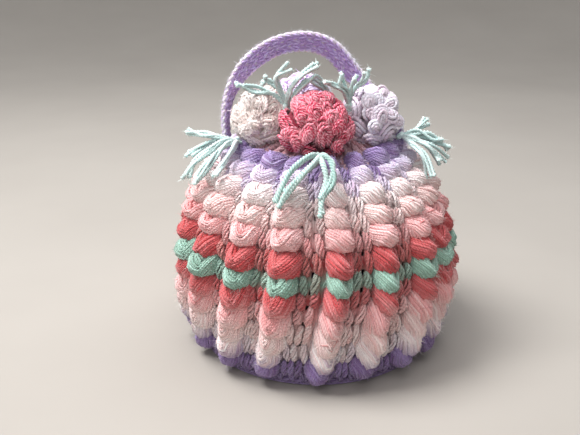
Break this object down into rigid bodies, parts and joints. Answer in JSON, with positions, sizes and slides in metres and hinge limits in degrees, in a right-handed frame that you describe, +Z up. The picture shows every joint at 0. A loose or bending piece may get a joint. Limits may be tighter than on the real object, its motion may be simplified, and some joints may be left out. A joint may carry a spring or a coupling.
{
  "type": "tea cosy",
  "caption": "Hollow crocheted tea cosy with puff-stitch ribs in colour bands, slits for spout and handle, a flat carrying strap, yarn flowers and yarn leaves on top",
  "frame": {"origin": "middle of the hem, at its foot", "axes": "+Z up through the crown; -X out of the spout slit; +X out of the handle slit; -Y is the front, with the crimson flower"},
  "size_m": [0.1816, 0.1846, 0.2038],
  "materials": {
    "body_yarn": "soft yarn in bands of purple, lilac, cream, peach, pink, coral and mint",
    "purple_yarn": "soft yarn",
    "crimson_yarn": "soft yarn",
    "peach_yarn": "soft yarn",
    "white_lilac_yarn": "soft yarn",
    "lavender_yarn": "soft yarn",
    "mint_yarn": "soft yarn"
  },
  "bodies": {
    "root": {"cosy_body": "body_yarn", "strap": "purple_yarn", "flower_crimson": "crimson_yarn", "flower_peach": "peach_yarn", "flower_white_lilac": "white_lilac_yarn", "flower_lavender": "lavender_yarn", "leaf_left": "mint_yarn", "leaf_front": "mint_yarn", "leaf_right": "mint_yarn", "leaf_back": "mint_yarn", "leaf_up_left": "mint_yarn", "leaf_up_right": "mint_yarn"}
  },
  "joints": []
}
